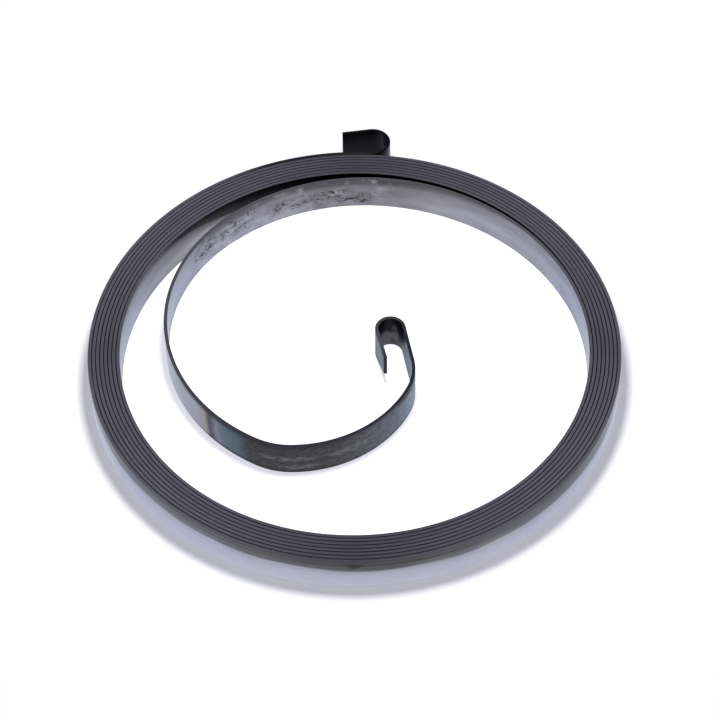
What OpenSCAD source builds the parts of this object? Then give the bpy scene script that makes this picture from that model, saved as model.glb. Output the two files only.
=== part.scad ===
/* [Strip] */
// Width of the steel strip, which is the height of the coil
strip_w = 7; // [5:0.5:10]
// Thickness of the steel strip
strip_t = 0.6; // [0.4:0.05:0.8]
// Bevel along the four edges of the strip
edge_c = 0.12; // [0.06:0.02:0.18]

/* [Coil] */
// Centre-line radius of the innermost wound half turn
ring_r = 41; // [36:0.5:60]
// Half turns wound before the last part turn
half_turns = 15; // [7:1:19]
// Clear gap between two wound turns
turn_gap = 0.1; // [0.08:0.02:0.3]
// Sweep of the last part turn, up to the outer hook
last_turn = 94; // [60:1:130]

/* [Inner arm] */
// How much tighter than the coil the arm's back bend is
back_ease = 1.25; // [0.8:0.05:2]
// Direction of the strip where the back bend ends, counted from the coil's side
back_end = 85.5; // [60:0.5:110]
// How much tighter than the coil the arm's side bend is
side_ease = 5; // [3:0.25:8]
// Direction of the strip where the side bend ends
side_end = 133; // [115:0.5:170]
// How much tighter than the coil the arm's long front bend is
front_ease = 9.5; // [7:0.25:12]
// Direction of the strip where the front bend ends
front_end = 241; // [210:0.5:250]
// Centre-line radius of the arm's sharp corner bend
corner_r = 12.5; // [8:0.5:20]
// Direction of the strip where the corner bend ends
corner_end = 269.5; // [255:0.5:285]
// Centre-line radius of the arm's run across the front
run_r = 22; // [18:0.5:26]
// Direction of the strip where the run ends
run_end = 334.5; // [315:0.5:345]
// Centre-line radius of the knee before the inner hook
knee_r = 10; // [6:0.5:14]
// Direction of the strip where the knee ends and the hook starts
knee_end = 370; // [355:0.5:380]

/* [Inner hook] */
// Inside radius of the inner hook's bend
in_hook_r = 2.1; // [1.6:0.1:2.8]
// Sweep of the inner hook's bend
in_hook_turn = 182.5; // [170:0.5:190]
// Straight run from the arm to the inner hook's bend
in_hook_run = 7.8; // [5:0.2:10]
// Straight leg from the bend to the strip's inner end
in_hook_leg = 6.3; // [4:0.1:8]
// Height left at the leg's tip, where its lower corner is cut off
tip_h = 4.5; // [3:0.25:5]

/* [Outer hook] */
// Inside radius of the outer hook's bend
out_hook_r = 2.7; // [1.8:0.1:4]
// Sweep of the outer hook's bend
out_hook_turn = 192; // [180:1:200]
// Straight leg from the bend to the strip's outer end
out_hook_leg = 5.2; // [3:0.2:7]

/* [Hidden] */

// Distance from one wound turn to the next, centre line to centre line
pitch = strip_t + turn_gap;

// Every second piece of the arm and hooks is this much slimmer on each side and
// reaches this far into its neighbours, so that all of them fuse into one strip
slim = 0.01;
lap = 0.1;

// Bends of the two hooks, both slim pieces, so their inside radius is the stated one
in_hook_bend = [in_hook_r + strip_t / 2 - slim, in_hook_turn];
out_hook_bend = [out_hook_r + strip_t / 2 - slim, out_hook_turn];

// Steps of the arm: [radius, sweep] turns to the left and [0, length] goes straight on
arm_path = [
    [ring_r - back_ease, back_end],
    [ring_r - side_ease, side_end - back_end],
    [ring_r - front_ease, front_end - side_end],
    [corner_r, corner_end - front_end],
    [run_r, run_end - corner_end],
    [knee_r, knee_end - run_end],
    [0, in_hook_run],
    in_hook_bend
];

// Cross-section of the strip, standing on its edge with bevelled corners
module section(inset) {
    x = strip_t / 2 - inset;
    top = strip_w - inset;
    polygon([
        [-x + edge_c, inset],
        [x - edge_c, inset],
        [x, inset + edge_c],
        [x, top - edge_c],
        [x - edge_c, top],
        [-x + edge_c, top],
        [-x, top - edge_c],
        [-x, inset + edge_c]
    ]);
}

// Part of a turn about the Z axis, from one angle through a sweep
module turn(r, from, sweep, inset = 0) {
    rotate_extrude(angle = sweep, start = from, $fn = r > 8 ? 90 : 48)
        translate([r, 0])
            section(inset);
}

// One piece of strip that starts at the origin and runs along +Y
module piece(step, thin = false) {
    r = step[0];
    inset = thin ? slim : 0;
    over = thin ? lap : 0;
    if (r > 0) {
        extra = over / r * 180 / PI;
        translate([-r, 0, 0])
            turn(r, -extra, step[1] + 2 * extra, inset);
    } else {
        translate([0, step[1] + over, 0])
            rotate([90, 0, 0])
                linear_extrude(height = step[1] + 2 * over)
                    section(inset);
    }
}

// Moves its children to the end of a piece, still running along +Y
module at_end(step) {
    r = step[0];
    if (r > 0) {
        translate([-r, 0, 0])
            rotate([0, 0, step[1]])
                translate([r, 0, 0])
                    children();
    } else {
        translate([0, step[1], 0])
            children();
    }
}

// Pieces of a path one after another, every second one slim, with the children at its end
module path(steps, i = 0) {
    if (i < len(steps)) {
        piece(steps[i], i % 2 == 1);
        at_end(steps[i])
            path(steps, i + 1)
                children();
    } else {
        children();
    }
}

// Last leg of the inner hook, with its lower corner cut away towards the tip
module tip_leg() {
    rise = strip_w - tip_h;
    difference() {
        piece([0, in_hook_leg]);
        if (rise > 0) {
            rotate([90, 0, 90])
                linear_extrude(height = 4 * strip_t, center = true)
                    polygon([
                        [0, 0],
                        [0, -strip_t],
                        [2 * in_hook_leg, -strip_t],
                        [2 * in_hook_leg, 2 * rise]
                    ]);
        }
    }
}

// Wound coil: half turns that grow by half a pitch, about two centres in turn
module coil() {
    for (k = [0:half_turns - 1])
        translate([k % 2 == 0 ? -pitch / 4 : pitch / 4, 0, 0])
            turn(ring_r + k * pitch / 2, k % 2 == 0 ? 180 : 0, 180);
}

// Last part turn of the coil and the outer hook, which bends back outwards
module outer_end() {
    r = ring_r + half_turns * pitch / 2;
    side = half_turns % 2 == 0 ? 0 : 180;
    translate([side == 0 ? -pitch / 4 : pitch / 4, 0, 0]) {
        turn(r, side - last_turn, last_turn);
        rotate([0, 0, side - last_turn])
            translate([r, 0, 0])
                rotate([0, 0, 180]) {
                    piece(out_hook_bend, true);
                    at_end(out_hook_bend)
                        piece([0, out_hook_leg]);
                }
    }
}

// Inner arm, from the innermost half turn to the inner hook's tip
module inner_end() {
    translate([ring_r - pitch / 4, 0, 0])
        path(arm_path)
            tip_leg();
}

module spring() {
    color([0.5, 0.5, 0.54]) {
        coil();
        outer_end();
        inner_end();
    }
}

spring();
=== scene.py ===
import math
from types import SimpleNamespace

import bpy
from mathutils import Matrix, Vector


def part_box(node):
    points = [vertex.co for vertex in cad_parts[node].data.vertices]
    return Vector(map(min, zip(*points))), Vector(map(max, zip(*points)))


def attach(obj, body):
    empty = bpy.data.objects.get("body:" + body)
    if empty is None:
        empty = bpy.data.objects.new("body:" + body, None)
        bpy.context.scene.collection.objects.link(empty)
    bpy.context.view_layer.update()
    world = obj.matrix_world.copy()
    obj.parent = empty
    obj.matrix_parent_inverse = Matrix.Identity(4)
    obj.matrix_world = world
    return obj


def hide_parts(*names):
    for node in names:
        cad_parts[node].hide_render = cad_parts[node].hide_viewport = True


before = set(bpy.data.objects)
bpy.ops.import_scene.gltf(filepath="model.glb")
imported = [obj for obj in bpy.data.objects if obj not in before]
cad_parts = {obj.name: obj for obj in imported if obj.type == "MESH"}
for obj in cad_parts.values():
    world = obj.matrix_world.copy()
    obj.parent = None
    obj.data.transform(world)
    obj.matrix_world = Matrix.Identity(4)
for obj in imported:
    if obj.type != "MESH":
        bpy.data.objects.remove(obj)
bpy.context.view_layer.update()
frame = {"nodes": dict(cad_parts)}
mm = 0.001
print("frame loaded, nodes:", ", ".join(frame["nodes"]))


# Small helpers for node trees

def feed(tree, socket, value):
    if isinstance(value, bpy.types.NodeSocket):
        tree.links.new(value, socket)
    elif value is not None:
        socket.default_value = value


def addNode(tree, kind, inputs=None, **settings):
    node = tree.nodes.new(kind)
    for name, value in settings.items():
        setattr(node, name, value)
    for name, value in (inputs or {}).items():
        feed(tree, node.inputs[name], value)
    return node


def calc(tree, operation, a, b=None, c=None):
    node = addNode(tree, "ShaderNodeMath", operation=operation)
    for socket, value in zip(node.inputs, (a, b, c)):
        feed(tree, socket, value)
    return node.outputs[0]


def times(tree, *values):
    result = values[0]
    for value in values[1:]:
        result = calc(tree, "MULTIPLY", result, value)
    return result


def partsOf(tree, vector):  # its X, Y and Z
    return addNode(tree, "ShaderNodeSeparateXYZ", {0: vector}).outputs


def fade(tree, value, start, end, kind="SMOOTHSTEP"):  # 0 at start and 1 at end, smooth between
    node = addNode(tree, "ShaderNodeMapRange", interpolation_type=kind)
    for name, given in (("Value", value), ("From Min", start), ("From Max", end)):
        feed(tree, node.inputs[name], given)
    return node.outputs["Result"]


def share(tree, value, span):  # how far value is through a span, 0 to 1
    return fade(tree, value, *span, kind="LINEAR")


def window(tree, value, rise, fall):  # 1 inside, fading in over rise and out over fall
    return times(tree, fade(tree, value, *rise), fade(tree, value, fall[1], fall[0]))


def sway(tree, base, noise, amount):  # base, moved up and down by a noise
    return calc(tree, "MULTIPLY_ADD", calc(tree, "SUBTRACT", noise, 0.5), amount, base)


def blend(tree, amount, first, second, mode="MIX"):
    node = addNode(tree, "ShaderNodeMix", data_type="RGBA", blend_type=mode)
    for place, value in ((0, amount), (6, first), (7, second)):  # the colour version's sockets
        feed(tree, node.inputs[place], (*value, 1.0) if isinstance(value, tuple) else value)
    return node.outputs[2]


def shade(tree, colour, grey):  # a colour times a grey value
    toned = addNode(tree, "ShaderNodeCombineColor", {0: grey, 1: grey, 2: grey})
    return blend(tree, 1.0, colour, toned.outputs[0], "MULTIPLY")


def rampOf(tree, value, stops):
    node = addNode(tree, "ShaderNodeValToRGB", {0: value})
    marks = node.color_ramp.elements
    for i, (at, colour) in enumerate(stops):
        mark = marks[i] if i < len(marks) else marks.new(at)
        mark.position = at
        mark.color = (*colour, 1.0)
    return node.outputs[0]


# The strip's middle line: bends as in the part's source, from the ring's right side

stripRoute = {  # sizes in mm and degrees; a radius of 0 is a straight length, a minus turns right
    "start": (40.825, 0.0),
    "arm": [(39.75, 85.5), (36.0, 47.5), (31.5, 108.0), (12.5, 28.5), (22.0, 65.0), (10.0, 35.5),
            (0.0, 7.8), (2.39, 182.5), (0.0, 6.3)],
    "ringRadius": 41.0,
    "pitch": 0.7,
    "halfTurns": 15,
    "lastSweep": 94.0,
    "outerHook": [(2.99, 192.0), (0.0, 5.2)],
    "pointGap": 1.0,
    "turnPerPoint": 6.0,
    "edgeSteps": 4,
    "creaseAngle": 40.0,
}


def walkBends(start, heading, bends):
    x, y = start
    points = [start]
    for radius, amount in bends:
        if radius == 0:
            count = math.ceil(amount / stripRoute["pointGap"])
            for _ in range(count):
                x += amount / count * math.cos(heading)
                y += amount / count * math.sin(heading)
                points.append((x, y))
            continue
        sweep = math.copysign(math.radians(amount), radius)
        byLength = abs(radius * sweep) / stripRoute["pointGap"]
        count = math.ceil(max(byLength, amount / stripRoute["turnPerPoint"]))
        centre = (x - radius * math.sin(heading), y + radius * math.cos(heading))
        for _ in range(count):
            heading += sweep / count
            x = centre[0] + radius * math.sin(heading)
            y = centre[1] - radius * math.cos(heading)
            points.append((x, y))
    return points


def stripPoints():
    r = stripRoute
    turns = [(-(r["ringRadius"] + k * r["pitch"] / 2), 180.0) for k in range(r["halfTurns"])]
    turns.append((-(r["ringRadius"] + r["halfTurns"] * r["pitch"] / 2), r["lastSweep"]))
    inwards = walkBends(r["start"], math.pi / 2, r["arm"])
    outwards = walkBends(r["start"], -math.pi / 2, turns + r["outerHook"])
    return inwards[::-1] + outwards[1:]


# The strip's sweep, as Geometry Nodes on a chain of edges

stripSizes = {  # in metres
    "Width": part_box("spring")[1].z,
    "Thickness": 0.6 * mm,
    "Edge rounding": 0.12 * mm,
    "Tip leg": 6.3 * mm,
    "Tip rise": 2.5 * mm,
}


def store(tree, geometry, name, value, kind="FLOAT"):
    return addNode(tree, "GeometryNodeStoreNamedAttribute", {
        "Geometry": geometry, "Name": name, "Value": value}, data_type=kind, domain="POINT").outputs[0]


def stored(tree, name):
    return addNode(tree, "GeometryNodeInputNamedAttribute", {"Name": name}, data_type="FLOAT").outputs[0]


def position(tree):
    return partsOf(tree, addNode(tree, "GeometryNodeInputPosition").outputs[0])


def sweepTree():
    tree = bpy.data.node_groups.new("stripSweep", "GeometryNodeTree")
    face = tree.interface
    face.new_socket("Geometry", in_out="INPUT", socket_type="NodeSocketGeometry")
    for name in stripSizes:
        face.new_socket(name, in_out="INPUT", socket_type="NodeSocketFloat")
    face.new_socket("Steel", in_out="INPUT", socket_type="NodeSocketMaterial")
    face.new_socket("Geometry", in_out="OUTPUT", socket_type="NodeSocketGeometry")
    given = addNode(tree, "NodeGroupInput").outputs

    route = addNode(tree, "GeometryNodeMeshToCurve", {"Mesh": given["Geometry"]}).outputs[0]
    upright = addNode(tree, "GeometryNodeSetCurveNormal", {"Curve": route}, mode="Z_UP").outputs[0]
    length = addNode(tree, "GeometryNodeSplineParameter").outputs["Length"]
    measured = store(tree, upright, "along", length)

    outline = addNode(tree, "GeometryNodeCurvePrimitiveQuadrilateral", {
        "Width": given["Thickness"], "Height": given["Width"]}).outputs[0]
    rounded = addNode(tree, "GeometryNodeFilletCurve", {
        "Curve": outline, "Count": stripRoute["edgeSteps"], "Radius": given["Edge rounding"]},
        mode="POLY").outputs[0]
    toFace = calc(tree, "MULTIPLY", given["Thickness"], -0.5)  # the outer face is on the outline's minus side
    sided = store(tree, rounded, "side", calc(tree, "DIVIDE", position(tree)["X"], toFace))
    swept = addNode(tree, "GeometryNodeCurveToMesh", {
        "Curve": measured, "Profile Curve": sided, "Fill Caps": True}).outputs[0]

    # The strip stands on z 0, and the inner tip's lower corner rises towards its end
    along, side = stored(tree, "along"), stored(tree, "side")
    high = position(tree)["Z"]
    toTip = calc(tree, "SUBTRACT", 1.0, calc(tree, "DIVIDE", along, given["Tip leg"]))
    cut = calc(tree, "MULTIPLY", calc(tree, "MAXIMUM", toTip, 0.0), given["Tip rise"])
    lower = calc(tree, "LESS_THAN", high, 0.0)
    lift = calc(tree, "MULTIPLY_ADD", cut, lower, calc(tree, "MULTIPLY", given["Width"], 0.5))
    upwards = addNode(tree, "ShaderNodeCombineXYZ", {"Z": lift}).outputs[0]
    stood = addNode(tree, "GeometryNodeSetPosition", {"Geometry": swept, "Offset": upwards}).outputs[0]

    # Where each point is on the strip: mm from the inner tip, mm from the floor, and which side
    perMm = 1.0 / mm
    onStrip = addNode(tree, "ShaderNodeCombineXYZ", {
        "X": calc(tree, "MULTIPLY", along, perMm),
        "Y": calc(tree, "MULTIPLY", high, perMm),
        "Z": side}).outputs[0]
    marked = store(tree, stood, "stripPlace", onStrip, "FLOAT_VECTOR")
    smooth = addNode(tree, "GeometryNodeSetShadeSmooth", {"Geometry": marked}).outputs[0]
    real = addNode(tree, "GeometryNodeRealizeInstances", {"Geometry": smooth}).outputs[0]
    steel = addNode(tree, "GeometryNodeSetMaterial", {
        "Geometry": real, "Material": given["Steel"]}).outputs[0]
    addNode(tree, "NodeGroupOutput", {"Geometry": steel})
    return tree


bakeRows = {
    "length": 184.0,  # mm of strip in a row
    "spare": 1.5,  # mm left free at both ends of a row
    "gap": 0.06,  # share of a row's height left free
    "cutEnds": ((8.0, -0.33), (4.0, 0.33)),  # inner and outer: mm before the last row's end, half thickness
}


def unroll(mesh, routeCount):  # bake map: the strip cut into rows, inner tip first
    place = [tuple(item.vector) for item in mesh.attributes["stripPlace"].data]
    ring = len(mesh.vertices) // routeCount
    middle = routeCount // 2 * ring
    corners = [mesh.vertices[middle + i].co for i in range(ring)]
    start = min(range(ring), key=lambda i: corners[i].z)
    around, girth = {}, 0.0
    for i in range(ring):
        here = (start + i) % ring
        around[here] = girth
        girth += (corners[(here + 1) % ring] - corners[here]).length
    length, spare, gap = bakeRows["length"], bakeRows["spare"], bakeRows["gap"]
    rows = math.ceil(place[-1][0] / length)
    spots = mesh.uv_layers.new(name="OFBake").data
    for face in mesh.polygons:
        ids = list(face.vertices)
        if len(ids) > 4:  # a cut end, put in the last row's free part
            row = rows - 1
            atInnerTip = place[ids[0]][0] < 1.0
            back, half = bakeRows["cutEnds"][0 if atInnerTip else 1]
            steps = [(length - back + place[i][2] * half, girth - place[i][1] * mm) for i in ids]
        else:
            row = int(min(place[i][0] for i in ids) / length)
            turns = [around[i % ring] for i in ids]
            if max(turns) - min(turns) > girth / 2:
                turns = [turn or girth for turn in turns]
            steps = [(place[i][0] - row * length, turn) for i, turn in zip(ids, turns)]
        for loop, (step, turn) in zip(face.loop_indices, steps):
            spots[loop].uv = ((step + spare) / (length + 2 * spare),
                              (row + gap / 2 + (1 - gap) * (1 - turn / girth)) / rows)
    return rows


def makeSpring(steel):
    points = stripPoints()
    spots = [(x * mm, y * mm, 0.0) for x, y in points]
    chain = bpy.data.meshes.new("stripRoute")
    chain.from_pydata(spots, [(i, i + 1) for i in range(len(points) - 1)], [])
    raw = bpy.data.objects.new("stripRoute", chain)
    bpy.context.scene.collection.objects.link(raw)
    tree = sweepTree()
    sweep = raw.modifiers.new("stripSweep", "NODES")
    sweep.node_group = tree
    for item in tree.interface.items_tree:
        if item.in_out == "INPUT" and item.name in stripSizes:
            sweep[item.identifier] = stripSizes[item.name]
        elif item.name == "Steel":
            sweep[item.identifier] = steel
    evaluated = raw.evaluated_get(bpy.context.evaluated_depsgraph_get())
    mesh = bpy.data.meshes.new_from_object(evaluated)
    raw.modifiers.remove(sweep)
    bpy.data.objects.remove(raw)
    mesh.name = "spring"
    rows = unroll(mesh, len(points))
    for name in ("along", "side"):
        mesh.attributes.remove(mesh.attributes[name])
    mesh.set_sharp_from_angle(angle=math.radians(stripRoute["creaseAngle"]))
    spring = bpy.data.objects.new("recoilSpring", mesh)
    bpy.context.scene.collection.objects.link(spring)
    flats = spring.modifiers.new("flatWalls", "WEIGHTED_NORMAL")  # the walls stay flat beside the rounding
    flats.keep_sharp = True
    print("spring made:", len(points), "route points,", len(mesh.polygons), "faces,", rows, "bake rows")
    return spring


# Finish of the steel, with some painted shade and reflection, placed in mm along and up the strip. A span
# holds two places in mm from the inner tip, a window the two over which something fades in and the two
# over which it fades out. Noise is mm along, mm up and a seed; lumps add the two values between which the
# noise shows.

steelLook = {
    "width": 7.0,
    "facing": (-0.2, 0.2),  # sides between which the inner face turns into the outer one
    "grazing": (0.82, 0.85, 0.95, 1.0),  # less white where the steel is seen along its length
    "noiseDetail": 3.0,
    "noiseSides": 3.0,  # keeps the noise of the two faces apart
    "patchRim": (1.0, 0.2),
    "grain": (9.0, 0.22, 2.0),
    "cloud": (7.0, 2.2, 3.0),
    "wander": (14.0, 30.0, 1.0),
    "wanderHeight": 1.2,  # mm that the walls' bands go up and down
    "uneven": (0.7, 0.4, 0.45),  # of the cloud, of the grain, and even
    # the coil's outer face: its pale lower part is a painted reflection of the shadowed floor, its top a dark
    # band
    "coilOuter": [(0.0, (0.50, 0.50, 0.61)), (0.40, (0.43, 0.435, 0.54)), (0.555, (0.36, 0.365, 0.44)),
                  (0.63, (0.13, 0.128, 0.145)), (0.78, (0.088, 0.085, 0.095)), (1.0, (0.065, 0.063, 0.070))],
    "band": (0.52, 0.62),  # where the dark upper part of the ring's outside starts
    "bandCalm": -0.65,  # change of the unevenness below it
    "bandStreaks": (30.0, 0.35, 24.0),
    "bandDepth": 1.3,
    "bandRise": ((2140.0, 2208.0), -0.28, 0.55),  # mm that its lower line climbs along the front
    "bandSpan": (2130.0, 2240.0),  # where its tone changes
    "bandTone": [(0.0, (0.75, 0.75, 0.75)), (0.12, (1.06, 1.06, 1.06)), (0.24, (1.40, 1.40, 1.40)),
                 (0.36, (1.0, 1.0, 1.0)), (0.46, (0.85, 0.85, 0.85)), (0.56, (0.92, 0.92, 0.92)),
                 (0.66, (1.42, 1.42, 1.42)), (0.78, (1.42, 1.42, 1.42)), (0.88, (1.0, 1.0, 1.0)),
                 (1.0, (0.72, 0.72, 0.72))],
    "coilInner": [(0.0, (0.32, 0.318, 0.375)), (0.25, (0.36, 0.358, 0.424)), (0.5, (0.29, 0.287, 0.340)),
                  (0.74, (0.25, 0.247, 0.290)), (0.88, (0.13, 0.127, 0.146)), (1.0, (0.095, 0.093, 0.105))],
    "innerSpan": (100.0, 230.0),  # where the arm's inner face changes
    "innerTone": [(0.0, (1.00, 1.02, 1.10)), (0.12, (1.02, 1.02, 1.05)), (0.24, (0.95, 0.95, 0.96)),
                  (0.29, (0.72, 0.72, 0.72)), (0.42, (0.74, 0.74, 0.74)), (0.46, (0.92, 0.92, 0.92)),
                  (0.60, (0.98, 0.98, 1.00)), (0.73, (0.96, 0.98, 1.06)), (1.0, (0.92, 0.94, 1.02))],
    "paleShift": 0.22,  # how far the inner face's dark margin moves up where the arm is paler
    "paleLeft": (114.0, 107.0),
    "paleRight": ((150.0, 190.0), (215.0, 240.0)),
    "armShadowSpan": (345.0, 385.0),  # the coil's inner face behind the arm, with the arm's painted shadow and reflection on it
    "armShadowTone": [(0.0, (1.0, 1.0, 1.0)), (0.05, (1.10, 1.08, 1.06)), (0.28, (0.90, 0.87, 0.78)),
                   (0.52, (0.86, 0.83, 0.76)), (0.68, (1.20, 1.15, 0.98)), (1.0, (1.30, 1.25, 1.08))],
    "armShadowStart": (345.0, 358.0),
    "armShadowLine": (361.0, 0.173),  # the painted shadow is dark above a line: the line's start, and its fall for each mm
    "armShadowFade": (6.50, 6.90),
    # colour by which the arm's painted shadow darkens the coil's inner face
    "armShadowColour": (0.38, 0.36, 0.32),
    "armBright": [(0.0, (0.30, 0.30, 0.365)), (0.8, (0.30, 0.30, 0.365)), (1.0, (0.28, 0.28, 0.34))],
    "armEnds": (150.0, 230.0),  # the arm's bright outer face turns into the coil's
    "margin": (5.5, 6.9),  # heights over which the arm's outer face darkens
    "marginKnee": ((18.0, 22.0), (29.0, 34.0)),
    "marginDrop": -1.0,  # mm that it reaches lower at the knee
    "marginFoot": (0.95, 0.2),
    "marginFootEnds": (76.0, 66.0),
    "marginEnds": (200.0, 120.0),
    "marginDepth": 0.85,
    "marginOxide": ((29.0, 35.0), (58.0, 66.0)),
    "marginEase": -0.5,  # change of its depth on the oxide
    "edgeTop": (6.84, 6.93),  # heights between which a wall turns into the slit edge
    "edgeFoot": (0.07, 0.0),
    "edgeTip": (0.3, 0.1),
    "edgeSpan": 230.0,  # mm from the inner tip over which the edge changes
    "edge": [(0.0, (0.036, 0.042, 0.052)), (0.014, (0.080, 0.084, 0.096)), (0.05, (0.046, 0.043, 0.044)),
             (0.08, (0.020, 0.022, 0.031)), (0.15, (0.036, 0.030, 0.042)), (0.25, (0.042, 0.036, 0.047)),
             (0.34, (0.062, 0.060, 0.071)), (0.44, (0.078, 0.077, 0.091)), (0.52, (0.092, 0.090, 0.103)),
             (0.80, (0.096, 0.094, 0.108)), (1.0, (0.078, 0.075, 0.097))],
    "edgeNoise": (28.0, 9.0, 22.0),
    "edgeTone": (0.98, 0.60),  # of the noise, and even: some turns are lighter
    "edgeCoil": (200.0, 215.0),
    "edgeSideLight": (-0.12, 106.0, 372.0),  # painted light on the slit edges: change at front and back, for each x squared, for each x times y
    "rough": (0.25, 0.16, 0.18),  # of dull places, of the cloud, and even
    "dullHeat": 0.6,
    "grainBump": (0.25, 0.02 * mm),
}

heatLook = {
    "slant": -0.10,  # mm that the tint's lines lean for each mm of height
    "middle": 3.5,
    "drift": 1.6,  # mm that the cloud moves them
    "temper": (61.5, 73.5),  # from black oxide to bare steel
    "temperColours": [
        (0.0, (0.080, 0.108, 0.138)), (0.15, (0.088, 0.128, 0.165)), (0.36, (0.094, 0.136, 0.176)),
        (0.44, (0.150, 0.155, 0.185)), (0.49, (0.200, 0.195, 0.225)), (0.55, (0.120, 0.128, 0.195)),
        (0.61, (0.050, 0.052, 0.088)), (0.655, (0.055, 0.050, 0.066)), (0.69, (0.160, 0.125, 0.110)),
        (0.74, (0.300, 0.270, 0.235)), (0.80, (0.265, 0.250, 0.255)), (1.0, (0.30, 0.30, 0.365))],
    "temperEnd": 2.0,  # mm over which the tint ends in bare steel
    "oxide": [
        (0.0, (0.050, 0.066, 0.094)), (0.03, (0.113, 0.146, 0.205)), (0.065, (0.178, 0.195, 0.252)),
        (0.085, (0.130, 0.131, 0.155)), (0.10, (0.082, 0.081, 0.092)), (0.125, (0.076, 0.074, 0.080)),
        (0.24, (0.045, 0.060, 0.085)), (0.31, (0.060, 0.093, 0.142)), (0.40, (0.188, 0.236, 0.313)),
        (0.45, (0.198, 0.247, 0.319)), (0.52, (0.135, 0.142, 0.172)), (0.63, (0.100, 0.100, 0.115)),
        (0.75, (0.064, 0.063, 0.068)), (1.0, (0.050, 0.050, 0.054))],
    "mottle": (1.1, 0.6, 4.0),
    "mottleDepth": (1.5, 0.25),
    "ragged": (0.6, 0.45, 12.0),  # the oxide's uneven end
    "raggedReach": (5.0, 1.1),
    # colour of the painted shade inside the inner hook, and of the smudge on its tip
    "hookShadeAndSmudge": (0.011, 0.0105, 0.012),
    "hookShadeNoise": (1.4, 2.4, 13.0),
    "hookShadeSway": 4.0,
    "hookShadeFoot": (0.6, 2.6),
    "hookShadePlace": ((5.5, 7.5), (14.8, 17.6)),  # painted shade inside the inner hook
    "hookShadeDepth": 0.95,
    "worn": [(9.3, 1.8, 2.4, 3.2), (11.6, 3.0, 1.2, 3.6)],  # along, height, half length, half height
    "wornNoise": (0.9, 1.7, 18.0),
    "wornFade": (0.72, 1.2),
    "wornDepth": 0.85,
    "wornShadeColour": (0.115, 0.108, 0.112),
    "smudge": (3.4, 1.5, 1.9, 1.5),  # dark mark on the inner tip's outer face
    "smudgeDepth": 0.9,
    "outerDark": ((2303.0, 2312.0), 0.8),  # the strip darkens before the outer hook, and the hook is black
    "outerBlack": ((2322.0, 2333.0), 0.99),
    "black": (0.006, 0.006, 0.006),
}

markLook = {  # patches are along, height, half length and half height; last come depth and colour
    "weathered": ((106.0, 114.0), (146.0, 156.0)),  # on the arm's inner face
    "darkCloud": ((5.0, 2.6, 11.0, 0.46, 0.66), 0.3, (0.12, 0.118, 0.13)),
    "paleCloud": ((3.0, 3.0, 21.0, 0.50, 0.68), 0.4, (0.46, 0.46, 0.53)),
    "stains": [(112.5, 4.2, 4.5, 2.6), (120.5, 4.2, 6.0, 3.0), (132.0, 3.3, 6.0, 2.0), (140.0, 3.0, 5.5, 2.6),
               (145.0, 2.0, 5.0, 1.8)],
    "stainLumps": (3.2, 1.5, 19.0, 0.36, 0.58),
    "stainFilm": ((2.6, 1.4, 16.0, 0.36, 0.62), 0.45, (0.10, 0.098, 0.11)),
    "stainSpots": ((0.5, 0.42, 5.0, 0.53, 0.59), (1.1, 0.8, 17.0, 0.54, 0.60), 0.9, (0.040, 0.039, 0.044)),
    "scuffs": [(42.5, 3.6, 5.5, 0.9), (53.5, 3.6, 6.5, 0.8), (51.5, 1.5, 4.5, 0.7)],  # on the oxide
    "scuffLumps": ((1.3, 0.2, 7.0, 0.44, 0.66), 0.62, (0.30, 0.30, 0.32)),
    "bruise": (2183.4, 5.8, 2.2, 1.0),  # dark mark on the ring's outside
    "bruiseNoise": (1.2, 0.5, 23.0),
    "bruiseFade": ((0.74, 1.15), 0.75, (0.024, 0.023, 0.025)),
    "specks": ((0.5, 0.4, 9.0, 0.70, 0.76), 0.5, (0.03, 0.03, 0.035)),
    "raggedPatch": 0.55,  # how much a patch counts beside its noise
}


def newGroup(name, sizes):  # reads a place on the strip and puts out one value
    tree = bpy.data.node_groups.new(name, "ShaderNodeTree")
    tree.interface.new_socket("Place", in_out="INPUT", socket_type="NodeSocketVector")
    for size in sizes:
        tree.interface.new_socket(size, in_out="INPUT", socket_type="NodeSocketFloat")
    tree.interface.new_socket("Value", in_out="OUTPUT", socket_type="NodeSocketFloat")
    given = addNode(tree, "NodeGroupInput").outputs
    return tree, given, partsOf(tree, given["Place"])


def stripNoiseGroup():  # noise whose lumps are Length by Height mm on the strip, different on each side
    tree, given, part = newGroup("stripNoise", ["Length", "Height", "Seed"])
    spot = addNode(tree, "ShaderNodeCombineXYZ", {
        "X": calc(tree, "DIVIDE", part["X"], given["Length"]),
        "Y": calc(tree, "DIVIDE", part["Y"], given["Height"]),
        "Z": calc(tree, "MULTIPLY_ADD", part["Z"], steelLook["noiseSides"], given["Seed"])}).outputs[0]
    noise = addNode(tree, "ShaderNodeTexNoise", {
        "Vector": spot, "Scale": 1.0, "Detail": steelLook["noiseDetail"]}).outputs[0]
    addNode(tree, "NodeGroupOutput", {"Value": noise})
    return tree


def roundPatchGroup():  # 1 in the middle of an oval on the strip, fading to 0 at its rim
    tree, given, part = newGroup("roundPatch", ["Along", "Height", "Half length", "Half height"])
    x = calc(tree, "DIVIDE", calc(tree, "SUBTRACT", part["X"], given["Along"]), given["Half length"])
    y = calc(tree, "DIVIDE", calc(tree, "SUBTRACT", part["Y"], given["Height"]), given["Half height"])
    reach = calc(tree, "MULTIPLY_ADD", x, x, calc(tree, "MULTIPLY", y, y))
    addNode(tree, "NodeGroupOutput", {"Value": fade(tree, reach, *steelLook["patchRim"])})
    return tree


def useGroup(tree, at, group, sizes):
    node = addNode(tree, "ShaderNodeGroup", {"Place": at.place}, node_tree=group)
    for socket, size in zip(node.inputs[1:], sizes):
        socket.default_value = size
    return node.outputs["Value"]


def stripNoise(tree, at, sizes):
    return useGroup(tree, at, at.noiseTree, sizes)


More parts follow.
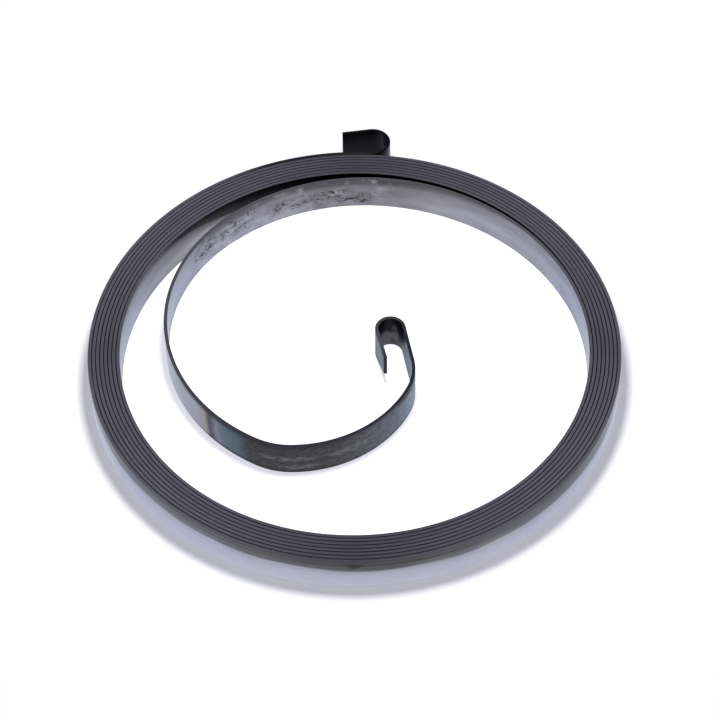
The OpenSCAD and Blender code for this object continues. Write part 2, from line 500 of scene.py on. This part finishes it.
def lumps(tree, at, sizes):
    return fade(tree, stripNoise(tree, at, sizes[:3]), *sizes[3:])


def patches(tree, at, *spots):
    each = [useGroup(tree, at, at.patchTree, spot) for spot in spots]
    result = each[0]
    for value in each[1:]:
        result = calc(tree, "MAXIMUM", result, value)
    return result


def raggedPatches(tree, at, spots, noise, span):
    worn = calc(tree, "MULTIPLY_ADD", patches(tree, at, *spots), markLook["raggedPatch"],
                stripNoise(tree, at, noise))
    return fade(tree, worn, *span)


def steelPlaces(tree):  # what every part of the finish reads
    place = addNode(tree, "ShaderNodeAttribute", attribute_name="stripPlace").outputs["Vector"]
    part = partsOf(tree, place)
    at = SimpleNamespace(place=place, along=part["X"], height=part["Y"])
    at.outer = fade(tree, part["Z"], *steelLook["facing"])
    at.inner = calc(tree, "SUBTRACT", 1.0, at.outer)
    at.noiseTree, at.patchTree = stripNoiseGroup(), roundPatchGroup()
    at.grain = stripNoise(tree, at, steelLook["grain"])
    at.cloud = stripNoise(tree, at, steelLook["cloud"])
    fromMiddle = calc(tree, "SUBTRACT", at.height, heatLook["middle"])
    leaning = calc(tree, "MULTIPLY_ADD", fromMiddle, heatLook["slant"], at.along)
    at.heatAlong = sway(tree, leaning, at.cloud, heatLook["drift"])
    return at


def bareWalls(tree, at):
    look = steelLook
    wander = stripNoise(tree, at, look["wander"])
    level = calc(tree, "DIVIDE", sway(tree, at.height, wander, look["wanderHeight"]), look["width"])

    # Inner face: a dark upper margin, paler at both ends of the arm, and behind the arm a painted shadow and
    # reflection of the arm, toned warmer
    paler = calc(tree, "MAXIMUM", window(tree, at.along, *look["paleRight"]),
                 fade(tree, at.along, *look["paleLeft"]))
    inner = rampOf(tree, calc(tree, "MULTIPLY_ADD", paler, -look["paleShift"], level), look["coilInner"])
    for span, tone in (("innerSpan", "innerTone"), ("armShadowSpan", "armShadowTone")):
        change = rampOf(tree, share(tree, at.along, look[span]), look[tone])
        inner = blend(tree, 1.0, inner, change, "MULTIPLY")
    # painted shadow and reflection of the arm on the coil's inner face, dark above a falling line
    lineStart, lineFall = look["armShadowLine"]
    lineHeight = calc(tree, "MULTIPLY_ADD", calc(tree, "SUBTRACT", at.along, lineStart), lineFall, at.height)
    armShadow = times(tree, fade(tree, lineHeight, *look["armShadowFade"]), fade(tree, at.along, *look["armShadowStart"]))
    inner = blend(tree, armShadow, inner, look["armShadowColour"], "MULTIPLY")

    # Outer face: bright on the arm; on the coil a dark upper band, and below it a pale painted reflection of
    # the shadowed floor
    armBright = rampOf(tree, level, look["armBright"])
    riseSpan, riseLow, riseHigh = look["bandRise"]
    rise = calc(tree, "MULTIPLY_ADD", share(tree, at.along, riseSpan), riseHigh - riseLow, riseLow)
    outerLevel = calc(tree, "MULTIPLY_ADD", rise, -1.0 / look["width"], level)
    coilOuter = rampOf(tree, outerLevel, look["coilOuter"])
    outer = blend(tree, fade(tree, at.along, *look["armEnds"]), armBright, coilOuter)
    wall = blend(tree, at.outer, inner, outer)
    ofCloud, ofGrain, even = look["uneven"]
    uneven = calc(tree, "MULTIPLY_ADD", at.grain, ofGrain, even)
    uneven = calc(tree, "MULTIPLY_ADD", at.cloud, ofCloud, uneven)

    # Outside of the ring: calm in the pale painted floor reflection, streaked in the dark band above
    band = fade(tree, outerLevel, *look["band"])
    onRing = times(tree, at.outer, fade(tree, at.along, *look["armEnds"]))
    pale = times(tree, onRing, calc(tree, "SUBTRACT", 1.0, band))
    calm = calc(tree, "MULTIPLY_ADD", pale, look["bandCalm"], 1.0)
    uneven = calc(tree, "MULTIPLY_ADD", calc(tree, "SUBTRACT", uneven, 1.0), calm, 1.0)
    depth = times(tree, onRing, band, look["bandDepth"])
    streaks = sway(tree, 1.0, stripNoise(tree, at, look["bandStreaks"]), depth)
    wall = shade(tree, wall, times(tree, uneven, streaks))
    bandTone = rampOf(tree, share(tree, at.along, look["bandSpan"]), look["bandTone"])
    return blend(tree, times(tree, onRing, band), wall, bandTone, "MULTIPLY")


def armMargin(tree, at):  # darkening along the edges of the arm's outer face
    look = steelLook
    low, high = look["margin"]
    knee = window(tree, at.along, *look["marginKnee"])
    upper = fade(tree, at.height, low, calc(tree, "MULTIPLY_ADD", knee, look["marginDrop"], high))
    footEnds = fade(tree, at.along, *look["marginFootEnds"])
    lower = times(tree, fade(tree, at.height, *look["marginFoot"]), footEnds)
    onArm = fade(tree, at.along, *look["marginEnds"])
    margin = times(tree, calc(tree, "MAXIMUM", upper, lower), onArm, at.outer)
    onOxide = window(tree, at.along, *look["marginOxide"])
    depth = calc(tree, "MULTIPLY_ADD", onOxide, look["marginEase"], look["marginDepth"])
    return calc(tree, "SUBTRACT", 1.0, times(tree, margin, depth))


def addHeat(tree, at, wall):  # tempering colours on the arm, oxide towards the inner hook
    look = heatLook
    oxideStart, oxideEnd = look["temper"]
    temper = rampOf(tree, share(tree, at.heatAlong, look["temper"]), look["temperColours"])
    oxide = rampOf(tree, calc(tree, "DIVIDE", at.along, oxideStart), look["oxide"])
    oxide = shade(tree, oxide, calc(tree, "MULTIPLY_ADD", stripNoise(tree, at, look["mottle"]),
                                    *look["mottleDepth"]))
    reach, half = look["raggedReach"]
    ragged = sway(tree, at.heatAlong, stripNoise(tree, at, look["ragged"]), reach)
    heated = blend(tree, fade(tree, ragged, oxideStart - half, oxideStart + half), oxide, temper)
    wall = blend(tree, fade(tree, at.heatAlong, oxideEnd, oxideEnd - look["temperEnd"]), wall, heated)
    return shade(tree, wall, armMargin(tree, at))


def addMarks(tree, at, wall):  # clouds and stains on the arm's inner face, scuffs, a bruise, fine specks
    look = markLook

    def put(onto, mask, depth, colour):
        return blend(tree, times(tree, mask, depth), onto, colour)

    weathered = times(tree, at.inner, window(tree, at.along, *look["weathered"]))
    for name in ("darkCloud", "paleCloud"):
        sizes, depth, colour = look[name]
        wall = put(wall, times(tree, weathered, lumps(tree, at, sizes)), depth, colour)
    stained = times(tree, at.inner, patches(tree, at, *look["stains"]), lumps(tree, at, look["stainLumps"]))
    sizes, depth, colour = look["stainFilm"]
    wall = put(wall, times(tree, stained, lumps(tree, at, sizes)), depth, colour)
    small, large, depth, colour = look["stainSpots"]
    spotted = calc(tree, "MAXIMUM", lumps(tree, at, small), lumps(tree, at, large))
    wall = put(wall, times(tree, stained, spotted), depth, colour)
    sizes, depth, colour = look["scuffLumps"]
    scuffed = times(tree, at.outer, patches(tree, at, *look["scuffs"]), lumps(tree, at, sizes))
    wall = put(wall, scuffed, depth, colour)
    span, depth, colour = look["bruiseFade"]
    bruised = raggedPatches(tree, at, [look["bruise"]], look["bruiseNoise"], span)
    wall = put(wall, times(tree, at.outer, bruised), depth, colour)
    sizes, depth, colour = look["specks"]
    return put(wall, lumps(tree, at, sizes), depth, colour)


def addHookShade(tree, at, wall):  # painted shade inside the inner hook, lighter worn patches in it, and a dark smudge on its tip
    look = heatLook
    above = sway(tree, at.height, stripNoise(tree, at, look["hookShadeNoise"]), look["hookShadeSway"])
    inHook = window(tree, at.along, *look["hookShadePlace"])
    # painted shade: darker higher up inside the inner hook
    hookShaded = times(tree, at.inner, inHook, fade(tree, above, *look["hookShadeFoot"]))
    wall = blend(tree, times(tree, hookShaded, look["hookShadeDepth"]), wall, look["hookShadeAndSmudge"])
    worn = raggedPatches(tree, at, look["worn"], look["wornNoise"], look["wornFade"])
    wall = blend(tree, times(tree, at.inner, worn, look["wornDepth"]), wall, look["wornShadeColour"])
    smudge = times(tree, at.outer, patches(tree, at, look["smudge"]), look["smudgeDepth"])
    return blend(tree, smudge, wall, look["hookShadeAndSmudge"])


def edgeMask(tree, at):  # slit edges and the cut inner end
    top, foot = fade(tree, at.height, *steelLook["edgeTop"]), fade(tree, at.height, *steelLook["edgeFoot"])
    edge = calc(tree, "MAXIMUM", top, foot)
    return calc(tree, "MAXIMUM", edge, fade(tree, at.along, *steelLook["edgeTip"]))


def edgeColour(tree, at):
    look = steelLook
    tone = calc(tree, "MULTIPLY_ADD", stripNoise(tree, at, look["edgeNoise"]), *look["edgeTone"])
    # painted light: the slit edges are darker at the ring's front and back and lighter at its sides
    spot = partsOf(tree, addNode(tree, "ShaderNodeTexCoord").outputs["Object"])
    atFront, atSide, between = look["edgeSideLight"]
    change = calc(tree, "MULTIPLY_ADD", times(tree, spot["X"], spot["X"]), atSide, atFront)
    corner = calc(tree, "ABSOLUTE", times(tree, spot["X"], spot["Y"]))
    change = calc(tree, "MULTIPLY_ADD", corner, between, change)
    onCoil = fade(tree, at.along, *look["edgeCoil"])
    tone = calc(tree, "MULTIPLY_ADD", times(tree, onCoil, change), tone, tone)
    colour = rampOf(tree, calc(tree, "DIVIDE", at.along, look["edgeSpan"]), look["edge"])
    return shade(tree, colour, tone)


def makeSteel():
    steel = bpy.data.materials.new("springSteel")
    steel.use_nodes = True
    tree = steel.node_tree
    shader = tree.nodes["Principled BSDF"]
    at = steelPlaces(tree)
    wall = bareWalls(tree, at)
    for addTo in (addHeat, addMarks, addHookShade):
        wall = addTo(tree, at, wall)
    edge = edgeMask(tree, at)
    colour = blend(tree, edge, wall, edgeColour(tree, at))
    ends = [times(tree, fade(tree, at.along, *span), depth)
            for span, depth in (heatLook["outerDark"], heatLook["outerBlack"])]
    burnt = calc(tree, "MAXIMUM", *ends)
    feed(tree, shader.inputs["Base Color"], blend(tree, burnt, colour, heatLook["black"]))
    shader.inputs["Metallic"].default_value = 1.0
    shader.inputs["Specular Tint"].default_value = steelLook["grazing"]
    oxideStart, oxideEnd = heatLook["temper"]
    heat = fade(tree, at.heatAlong, oxideEnd - heatLook["temperEnd"], oxideStart)
    dull = calc(tree, "MAXIMUM", edge, times(tree, heat, steelLook["dullHeat"]))
    ofDull, ofCloud, even = steelLook["rough"]
    rough = calc(tree, "MULTIPLY_ADD", dull, ofDull, calc(tree, "MULTIPLY_ADD", at.cloud, ofCloud, even))
    feed(tree, shader.inputs["Roughness"], rough)
    strength, depth = steelLook["grainBump"]
    bump = addNode(tree, "ShaderNodeBump", {"Height": at.grain, "Strength": strength, "Distance": depth})
    feed(tree, shader.inputs["Normal"], bump.outputs[0])
    print("steel finish made:", len(tree.nodes), "nodes")
    return steel


spring = makeSpring(makeSteel())
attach(spring, "root")
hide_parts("spring")


# Floor, light and camera

studio = {
    "floorSize": 6.0,
    "floorDrop": 0.02 * mm,
    "floorWhite": (0.75, 0.75, 0.75, 1.0),
    "floorLift": (0.28, 0.90),  # added white around the ring and at the sides of the view
    "liftSpan": (0.049, 0.205),  # distances from the middle between which the added white grows
    "insideLift": 0.60,  # the same inside the ring
    "liftColour": (0.97, 0.96, 1.08, 1.0),
    "ringFoot": ((0.0407, 0.0410), (0.0455, 0.0459)),  # under the ring, so nothing white shows between turns
    "skyColour": (0.80, 0.80, 0.92, 1.0),
    "skyStrength": 0.27,
    "backdrop": (1.0, 1.0, 1.0, 1.0),
    "lampSize": 0.035,
    "lampPlace": (0.0, 0.005, 0.17),
    "lampPower": 0.265,
}

view = {  # fitted to the photograph
    "target": Vector((0.764, -3.505, 7.0)) * mm,
    "distance": 461.1 * mm,
    "elevation": 50.23,
    "roll": -0.74,
    "lens": 133.6,
    "sensor": 36.0,
    "nearest": 0.01,
}


def seenRays(tree):  # rays that show the floor or sky: straight, and in a mirror
    path = addNode(tree, "ShaderNodeLightPath").outputs
    return path["Is Camera Ray"], calc(tree, "MAXIMUM", path["Is Glossy Ray"], path["Is Transmission Ray"])


def makeFloor():
    half = studio["floorSize"] / 2
    mesh = bpy.data.meshes.new("floor")
    corners = [(-half, -half), (half, -half), (half, half), (-half, half)]
    mesh.from_pydata([(x, y, -studio["floorDrop"]) for x, y in corners], [], [(0, 1, 2, 3)])
    floor = bpy.data.objects.new("floor", mesh)
    bpy.context.scene.collection.objects.link(floor)
    white = bpy.data.materials.new("floorWhite")
    white.use_nodes = True
    tree = white.node_tree
    tree.nodes.remove(tree.nodes["Principled BSDF"])
    straight, mirrored = seenRays(tree)
    spot = addNode(tree, "ShaderNodeTexCoord").outputs["Object"]
    far = addNode(tree, "ShaderNodeVectorMath", {0: spot}, operation="LENGTH").outputs["Value"]
    lowLift, highLift = studio["floorLift"]
    lift = calc(tree, "MULTIPLY_ADD", share(tree, far, studio["liftSpan"]), highLift - lowLift, lowLift)
    bare = calc(tree, "SUBTRACT", 1.0, window(tree, far, *studio["ringFoot"]))
    inside = fade(tree, far, *reversed(studio["ringFoot"][0]))
    lift = calc(tree, "MULTIPLY_ADD", inside, studio["insideLift"] - lowLift, times(tree, lift, bare))
    matt = addNode(tree, "ShaderNodeBsdfDiffuse", {"Color": studio["floorWhite"]})
    glow = addNode(tree, "ShaderNodeEmission", {
        "Color": studio["liftColour"], "Strength": times(tree, straight, lift)})
    plain = addNode(tree, "ShaderNodeEmission", {"Strength": 1.0})  # what the steel shows of the floor
    both = addNode(tree, "ShaderNodeAddShader", {0: matt.outputs[0], 1: glow.outputs[0]})
    surface = addNode(tree, "ShaderNodeMixShader", {
        0: times(tree, mirrored, bare), 1: both.outputs[0], 2: plain.outputs[0]})
    feed(tree, tree.nodes["Material Output"].inputs["Surface"], surface.outputs[0])
    mesh.materials.append(white)


def makeLight():
    world = bpy.data.worlds.new("studio")
    world.use_nodes = True
    bpy.context.scene.world = world
    tree = world.node_tree
    sky = tree.nodes["Background"]
    sky.inputs["Color"].default_value = studio["skyColour"]
    sky.inputs["Strength"].default_value = studio["skyStrength"]
    backdrop = addNode(tree, "ShaderNodeBackground", {"Color": studio["backdrop"]})
    seen = addNode(tree, "ShaderNodeMixShader", {
        0: calc(tree, "MAXIMUM", *seenRays(tree)), 1: sky.outputs[0], 2: backdrop.outputs[0]})
    feed(tree, tree.nodes["World Output"].inputs["Surface"], seen.outputs[0])
    lamp = bpy.data.lights.new("overhead", "AREA")
    lamp.size = studio["lampSize"]
    lamp.energy = studio["lampPower"]
    overhead = bpy.data.objects.new("overhead", lamp)
    overhead.location = studio["lampPlace"]
    overhead.rotation_euler = (-Vector(studio["lampPlace"])).to_track_quat("-Z", "Y").to_euler()
    overhead.visible_camera = False
    overhead.visible_glossy = False  # the steel shows plain white, not the lamp's shape
    bpy.context.scene.collection.objects.link(overhead)


def makeCamera():
    rise, roll = math.radians(view["elevation"]), math.radians(view["roll"])
    forward = Vector((0.0, math.cos(rise), -math.sin(rise)))
    flat, steep = Vector((1.0, 0.0, 0.0)), Vector((0.0, math.sin(rise), math.cos(rise)))
    right = flat * math.cos(roll) + steep * math.sin(roll)
    up = steep * math.cos(roll) - flat * math.sin(roll)
    lens = bpy.data.cameras.new("camera")
    lens.lens = view["lens"]
    lens.sensor_width = view["sensor"]
    lens.clip_start = view["nearest"]
    camera = bpy.data.objects.new("camera", lens)
    turned = Matrix((right, up, -forward)).transposed().to_4x4()
    turned.translation = view["target"] - forward * view["distance"]
    camera.matrix_world = turned
    bpy.context.scene.collection.objects.link(camera)
    bpy.context.scene.camera = camera


makeFloor()
makeLight()
makeCamera()
bpy.context.scene.view_settings.view_transform = "Standard"
print("floor, light and camera set")
